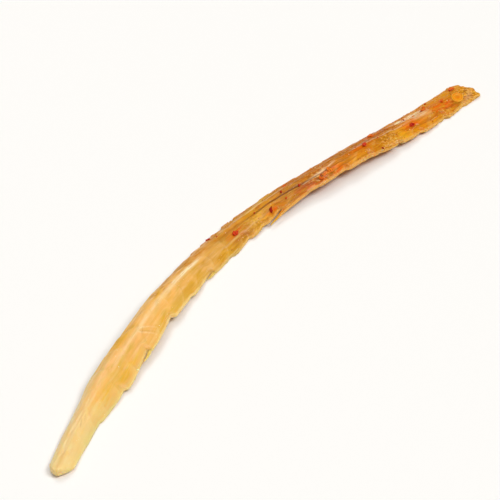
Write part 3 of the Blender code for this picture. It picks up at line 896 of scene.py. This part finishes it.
def grow(carrier, tree, sizes, material, name):
    # runs a tree on a copy of a piece and keeps what it makes as a plain mesh
    worker = newObject(name + "_worker", carrier.data.copy())
    modifier = worker.modifiers.new("grow", "NODES")
    modifier.node_group = tree
    values = {"Material": material, **treeInputs(sizes)}
    for item in tree.interface.items_tree:
        if item.name in values and item.in_out == "INPUT":
            modifier[item.identifier] = values[item.name]
    graph = bpy.context.evaluated_depsgraph_get()
    evaluated = worker.evaluated_get(graph)
    mesh = bpy.data.meshes.new_from_object(evaluated, preserve_all_data_layers=True, depsgraph=graph)
    mesh.name = name
    for vertex in mesh.vertices:
        vertex.co.z = max(vertex.co.z, 0)  # nothing sinks into the table
    bpy.data.objects.remove(worker)
    print("  ", name, len(mesh.polygons), "faces")
    return newObject(name, mesh)


# Bits, powder and crumbs scattered over the flesh

bits = {
    "where": "seasoned", "perSquareCentimetre": 11.0, "smallest": 0.30, "largest": 1.0, "narrowness": 0.65,
    "flatness": 0.28, "raised": 0.10, "tilt": 14, "crumple": 0.30, "crumpleWidth": 0.7, "seed": 4,
    "sides": 7, "rings": 1, "cup": 0.5,
}
powder = {
    "where": "seasoned", "perSquareCentimetre": 130.0, "smallest": 0.08, "largest": 0.34, "narrowness": 0.8,
    "flatness": 0.6, "raised": 0.2, "tilt": 60, "crumple": 0.10, "crumpleWidth": 0.3, "seed": 9,
    "subdivisions": 1,
}
crumbs = {
    "where": "crumbly", "perSquareCentimetre": 120.0, "smallest": 0.20, "largest": 0.95, "narrowness": 0.75,
    "flatness": 0.55, "raised": -0.10, "tilt": 40, "crumple": 0.5, "crumpleWidth": 0.45, "seed": 5,
    "subdivisions": 2,
}


def makeScatterTree(name, sizes, shape):
    n = newTree(name, sizes)
    given, places = n.given, spread(n)
    common = n.calc("POWER", chance(n, 0.0, 1.0, 1), 2.0)  # most of them are small
    size = n.add("ShaderNodeMapRange", {0: common, 3: given["Smallest"], 4: given["Largest"]})
    thickness = n.times(size, given["Flatness"])
    lifted = n.scaled(places["Normal"], n.times(thickness, given["Raised"]))
    points = moved(n, places["Points"], lifted)
    unit = chance(n, (-1.0, -1.0, -1.0), (1.0, 1.0, 1.0), 2)
    turns = n.vector("MULTIPLY", unit, n.xyz(given["Tilt"], given["Tilt"], pi))
    rotation = turned(n, places["Rotation"], turns)
    width = n.times(size, n.times(given["Narrowness"], chance(n, 0.7, 1.3, 3)))
    made = realized(n, points, shape(n), rotation, n.xyz(size, width, thickness), 4)
    return finishTree(n, crumple(n, made, "Crumple"))


chilliLook = {
    "tones": (
        (0.0, (146, 18, 1)), (0.25, (190, 34, 2)), (0.50, (214, 62, 3)), (0.75, (232, 100, 8)),
        (0.92, (240, 140, 20)), (1.0, (246, 184, 66)),
    ),
    "mottle": (132, 16, 1), "mottleFrom": (0.48, 0.36), "mottleShare": 0.6,
    "mottleSize": (2600.0, 3.0), "tintSpread": 0.25, "bump": (0.06, 0.8),
    "roughness": 0.5, "gloss": 0.15, "coat": 0.06, "coatRoughness": 0.2, "glow": 0.35, "glowDepth": 0.8,
}


def speckledTint(n, look, mottle):
    # the tint of each bit with the noise spread over it, as a colour
    spread = n.swing(mottle, -look["tintSpread"], look["tintSpread"])
    return n.palette(n.calc("ADD", n.attribute("tint"), spread), look["tones"])


def makeChilliMaterial():
    look = chilliLook
    material, n = newMaterial("crushed_chilli", look)
    mottle = n.noise(n.place(), *look["mottleSize"])
    dark = n.times(n.between(mottle, *look["mottleFrom"]), look["mottleShare"])
    n.wire(Base_Color=n.blend(dark, speckledTint(n, look, mottle), tone(*look["mottle"])))
    n.bump(mottle, *look["bump"])
    return material


# Larger flakes of crushed chilli, each at its own place

flakes = {
    "each": (  # share of the length, place across, size in millimetres, tint
        (0.68, -0.7, 1, 0.72), (0.495, 0.8, 1.2, 0.25), (0.52, -0.3, 1.9, 0.48), (0.59, -0.66, 1.6, 0.05),
        (0.64, 0.42, 1.3, 0.7), (0.7, -0.62, 1.8, 0.84), (0.772, -0.3, 1.4, 0.45), (0.803, 0.5, 1.6, 0.76),
        (0.862, -0.48, 1.9, 0.36), (0.905, 0.24, 1.6, 0.8), (0.937, -0.05, 1.3, 0.74),
        (0.975, 0.45, 1.7, 0.78),
    ),
    "raised": 0.5, "tilt": 12, "seed": 12,
    "shape": {
        "narrowness": 0.62, "thickness": 0.26, "sides": 20, "rings": 6, "cup": 0.8,
        "crumple": 0.9, "crumpleWidth": 1.1, "crinkle": 0.22, "crinkleWidth": 0.35,
    },
}


def onTop(share, across):
    # a place on the upper face with the directions along the strip and straight out of it
    step = 0.01
    shares, acrosses = np.array([share, share + step, share]), np.array([across, across, across + step])
    here, ahead, beside = skinPoint(shares, acrosses, fullness(acrosses))
    ahead, beside = ahead - here, beside - here
    out = np.cross(ahead, beside)
    return here, ahead / np.linalg.norm(ahead), out / np.linalg.norm(out)


def makeFlakeTree():
    n = newTree("crushed_chilli_flakes", flakes["shape"])
    size = named(n, "size")
    points = n.add("GeometryNodeMeshToPoints", {0: n.given["Geometry"]})
    rotation = aligned(n, named(n, "facing", "FLOAT_VECTOR"), named(n, "heading", "FLOAT_VECTOR"))
    scale = n.xyz(size, n.times(size, n.given["Narrowness"]), n.given["Thickness"])
    made = realized(n, points, shard(n), rotation, scale)
    return finishTree(n, crumple(n, crumple(n, made, "Crumple"), "Crinkle"))


def makeFlakes(material):
    draw = random.Random(flakes["seed"])
    lift = flakes["shape"]["thickness"] * flakes["raised"]
    spots, painted = [], []
    for share, across, length, tint in flakes["each"]:
        here, ahead, out = onTop(share, across)
        heading = Matrix.Rotation(draw.uniform(0, pi), 3, Vector(out)) @ Vector(ahead)
        tilt = radians(draw.uniform(-1, 1) * flakes["tilt"])
        facing = Matrix.Rotation(tilt, 3, heading) @ Vector(out)
        spots.append(here + out * lift)
        painted.append((tuple(facing), tuple(heading), length * mm, tint))
    carrier = makePiece("flake_places", spots, [], material)
    for name, values in zip(("facing", "heading", "size", "tint"), zip(*painted)):
        paint(carrier, name, np.array(values))
    piece = grow(carrier, makeFlakeTree(), flakes["shape"], material, "crushed_chilli")
    bpy.data.objects.remove(carrier)
    return piece


# Loose fibres that have come away from the torn flesh

fibres = {
    "where": "frayed", "perSquareCentimetre": 7.0, "shortest": 1.2, "longest": 4.5, "bow": 0.05,
    "curl": 0.15, "curlWidth": 1.6, "thickness": 0.10, "spin": 10, "seed": 3, "rings": 9, "sides": 5,
}
fringe = {
    "where": "ragged", "perSquareCentimetre": 90.0, "shortest": 0.4, "longest": 1.8, "bow": 0.06,
    "curl": 0.10, "curlWidth": 0.8, "thickness": 0.13, "spin": 30, "seed": 8, "rings": 9, "sides": 5,
}
fibreLook = {
    "tones": ((0.0, (236, 178, 80)), (0.5, (248, 202, 124)), (1.0, (254, 226, 176))),
    "roughness": 0.42, "glow": 0.4, "glowDepth": 0.5,
}


def makeFibreTree():
    n = newTree("loose_muscle_fibres", fibres)
    given, places = n.given, spread(n)
    lying = aligned(n, places["Normal"], named(n, "heading", "FLOAT_VECTOR"))
    unit = chance(n, (-0.25, -0.35, -1.0), (0.25, 0.35, 1.0), 2)
    rotation = turned(n, lying, n.scaled(unit, given["Spin"]))
    values = {"Start": (-0.5, 0.0, 0.0), "Middle": n.xyz(z=given["Bow"]), "End": (0.5, 0.0, 0.0)}
    thread = n.add("GeometryNodeCurveQuadraticBezier", {"Resolution": given["Rings"], **values})
    size = chance(n, given["Shortest"], given["Longest"], 3)
    curled = crumple(n, realized(n, places["Points"], thread, rotation, size, 5), "Curl")
    spot = n.add("GeometryNodeSplineParameter", output="Factor")
    taper = n.calc("POWER", n.calc("SINE", n.swing(spot, 0.12, 3.02)), 0.6)  # thin at both ends
    radius = n.times(taper, n.times(given["Thickness"], 0.5))
    profile = n.add("GeometryNodeCurvePrimitiveCircle", {"Resolution": given["Sides"], "Radius": 1.0})
    values = {"Curve": curled, "Profile Curve": profile, "Scale": radius, "Fill Caps": True}
    return finishTree(n, n.add("GeometryNodeCurveToMesh", values))


def makeFibreMaterial():
    material, n = newMaterial("loose_fibre", fibreLook)
    n.wire(Base_Color=n.palette(n.attribute("tint"), fibreLook["tones"]))
    return material


# Crumbs of flesh on the torn edge

crumbLook = {
    "tones": ((0.0, (212, 136, 30)), (0.5, (236, 168, 62)), (1.0, (252, 210, 136))),
    "fresh": (255, 240, 190), "freshFrom": (-20, -50),  # paler towards the blunt end, in millimetres
    "mottleSize": (3000.0, 2.0), "tintSpread": 0.3, "bump": (0.08, 0.7),
    "roughness": 0.45, "glow": 0.4, "glowDepth": 0.8,
}


def makeCrumbMaterial():
    look = crumbLook
    material, n = newMaterial("flesh_crumb", look)
    place = n.place()
    mottle = n.noise(place, *look["mottleSize"])
    x = n.add("ShaderNodeSeparateXYZ", {0: place})
    fresh = n.between(x, *(edge * mm for edge in look["freshFrom"]))
    n.wire(Base_Color=n.blend(fresh, speckledTint(n, look, mottle), tone(*look["fresh"])))
    n.bump(mottle, *look["bump"])
    return material


# One flat chilli seed

seed = {
    "place": (0.962, -0.40), "size": (3.8, 3.3, 0.9), "around": 64, "rings": 22,
    "rim": 0.26, "rimPlace": 0.82, "rimWidth": 0.10, "dimple": 0.55, "dimpleWidth": 0.55,
    "beak": 0.14, "beakWidth": 0.35, "unevenness": 0.03, "pits": 0.10, "pitWidth": 0.16,
}
seedLook = {
    # rim is a painted highlight on the raised rim; shade is painted shade in the ring inside it and on the
    # lower side
    "face": (252, 162, 8), "rim": (255, 196, 64), "shade": (222, 128, 4),
    "ringShadeShare": 0.8, "rimHighlightShare": 0.7, "sideShadeShare": 0.85,
    "mottleSize": (1800.0, 3.0), "bump": (0.05, 0.6),
    "roughness": 0.36, "gloss": 0.1, "coat": 0.08, "coatRoughness": 0.25, "glow": 0.4, "glowDepth": 0.8,
}


def makeSeed(material):
    here, ahead, out = onTop(*seed["place"])
    side = np.cross(out, ahead)
    rings, around = seed["rings"], seed["around"]
    # rows run from the upper pole to the lower one
    fall = np.linspace(0.04, pi - 0.04, rings)
    fall, turn = np.meshgrid(fall, ringAngles(around), indexing="ij")
    reach = np.sin(fall)
    rim = seed["rim"] * bell(reach, seed["rimPlace"], seed["rimWidth"])
    hollow = seed["dimple"] * np.exp(-(reach / seed["dimpleWidth"]) ** 4)
    height = np.cos(fall) * (1 - hollow) + np.sign(np.cos(fall)) * rim
    beak = 1 + seed["beak"] * bell(turn, 0, seed["beakWidth"])
    outline = 1 + seed["unevenness"] * rough(np.cos(turn) * 1.5, np.sin(turn) * 1.5, 4.4)
    x, y = reach * np.cos(turn) * beak * outline, reach * np.sin(turn) * outline
    pits = 1 + seed["pits"] * rough(x / seed["pitWidth"], y / seed["pitWidth"], height)
    length, width, thickness = (size / 2 for size in seed["size"])
    grid = here + x[..., None] * ahead * length + y[..., None] * side * width
    grid = grid + (height * pits * thickness)[..., None] * out
    piece = makePiece("chilli_seed", closed(grid), tubeFaces(rings, around), material)
    paint(piece, "reach", closed(reach))
    # where painted shade falls, on the seed's lower side
    paint(piece, "side", closed(smooth(0.80, 0.40, height)))
    return piece


def makeSeedMaterial():
    look = seedLook
    material, n = newMaterial("chilli_seed", look)
    mottle, reach = n.noise(n.place(), *look["mottleSize"]), n.attribute("reach")
    face, rim, shade = (tone(*look[name]) for name in ("face", "rim", "shade"))
    colour = n.blend(n.between(mottle, 0.4, 0.8), face, rim)
    # painted shade in the ring inside the raised rim
    ring = n.times(n.between(reach, 0.56, 0.68), n.between(reach, 0.84, 0.74), look["ringShadeShare"])
    colour = n.blend(ring, colour, shade)
    # painted highlight on the raised rim
    colour = n.blend(n.times(n.between(reach, 0.80, 0.9), look["rimHighlightShare"]), colour, rim)
    # painted shade on the lower side
    n.wire(Base_Color=n.blend(n.times(n.attribute("side"), look["sideShadeShare"]), colour, shade))
    n.bump(mottle, *look["bump"])
    return material


# Everything is built here, in the place where the solid lies

def shiftToFrame():
    # how far the solid was moved when it was centred on its own box
    share, across = np.meshgrid(np.linspace(0, 1, 400), np.linspace(-1, 1, 61), indexing="ij")
    points = skinPoint(share, across, fullness(across))
    low, high = np.array(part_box(solid)) / mm
    middle = (points.min((0, 1)) + points.max((0, 1))) / 2
    return ((low + high) / 2 - middle) * (1, 1, 0)


def keep(piece):
    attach(piece, body)
    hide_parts(solid)


shift = shiftToFrame()
print("strip of flesh")
fleshMaterial = makeFleshMaterial()
stripPiece = makeStrip(fleshMaterial)
keep(stripPiece)
keep(makeSlivers(fleshMaterial))

print("crushed chilli")
chilliMaterial = makeChilliMaterial()
keep(makeFlakes(chilliMaterial))
shardTree = makeScatterTree("scattered_shards", bits, shard)
keep(grow(stripPiece, shardTree, bits, chilliMaterial, "chilli_bits"))
grainTree = makeScatterTree("scattered_grains", powder, grain)
keep(grow(stripPiece, grainTree, powder, chilliMaterial, "chilli_powder"))
keep(makeSeed(makeSeedMaterial()))

print("crumbs and loose fibres")
keep(grow(stripPiece, grainTree, crumbs, makeCrumbMaterial(), "flesh_crumbs"))
fibreTree, fibreMaterial = makeFibreTree(), makeFibreMaterial()
keep(grow(stripPiece, fibreTree, fibres, fibreMaterial, "loose_fibres"))
keep(grow(stripPiece, fibreTree, fringe, fibreMaterial, "torn_fringe"))


# The table, the light and the camera

stage = {
    "tableSize": 6.0, "tableColour": (0.97, 0.97, 0.965), "tableRoughness": 0.7, "tableDrop": 0.02,
    "ambient": 0.20, "ambientColour": (1.0, 0.95, 0.87),
    "lamps": (  # name, azimuth, elevation, how wide it looks from the table, strength, colour
        ("key_light", 16, 50, 26, 1.46, (1.0, 0.985, 0.96)),
        ("top_light", -60, 78, 80, 0.95, (1.0, 1.0, 1.0)),
        ("back_light", 140, 48, 24, 0.76, (1.0, 0.985, 0.96)),
    ),
}

view = {
    "azimuth": -54, "elevation": 34.5, "roll": 4.6, "lens": 188, "distance": 0.66,
    "aim": (0.0, 0.0, 0.002),
}


def away(azimuth, elevation):
    # the direction from the object to something that looks at it
    a, e = radians(azimuth), radians(elevation)
    return Vector((sin(a) * cos(e), -cos(a) * cos(e), sin(e)))


def makeTable():
    half = stage["tableSize"] / 2
    mesh = bpy.data.meshes.new("table_top")
    corners = [(-half, -half, 0), (half, -half, 0), (half, half, 0), (-half, half, 0)]
    mesh.from_pydata(corners, [], [(0, 1, 2, 3)])
    material, n = newMaterial("table_white", {"roughness": stage["tableRoughness"]})
    n.shader.inputs["Base Color"].default_value = (*stage["tableColour"], 1)
    mesh.materials.append(material)
    table = newObject("table_top", mesh)
    table.location.z = -stage["tableDrop"] * mm


def makeWorld():
    world = bpy.data.worlds.new("studio")
    world.use_nodes = True
    light = world.node_tree.nodes["Background"].inputs
    light["Color"].default_value = (*stage["ambientColour"], 1)
    light["Strength"].default_value = stage["ambient"]
    bpy.context.scene.world = world


def makeLamp(name, azimuth, elevation, spread, strength, colour):
    # a far softbox, which lights the whole table alike
    lamp = newObject(name, bpy.data.lights.new(name, "SUN"))
    lamp.data.angle = radians(spread)
    lamp.data.energy = strength
    lamp.data.color = colour
    lamp.location = away(azimuth, elevation)
    lamp.rotation_euler = lamp.location.to_track_quat("Z", "Y").to_euler()


def makeCamera():
    back = away(view["azimuth"], view["elevation"])
    camera = newObject("camera", bpy.data.cameras.new("camera"))
    camera.data.lens = view["lens"]
    camera.location = Vector(view["aim"]) + back * view["distance"]
    turned = back.to_track_quat("Z", "Y").to_matrix() @ Matrix.Rotation(-radians(view["roll"]), 3, "Z")
    camera.rotation_euler = turned.to_euler()
    bpy.context.scene.camera = camera


print("table, light and camera")
makeTable()
makeWorld()
for lamp in stage["lamps"]:
    makeLamp(*lamp)
makeCamera()
bpy.context.scene.view_settings.view_transform = "Standard"
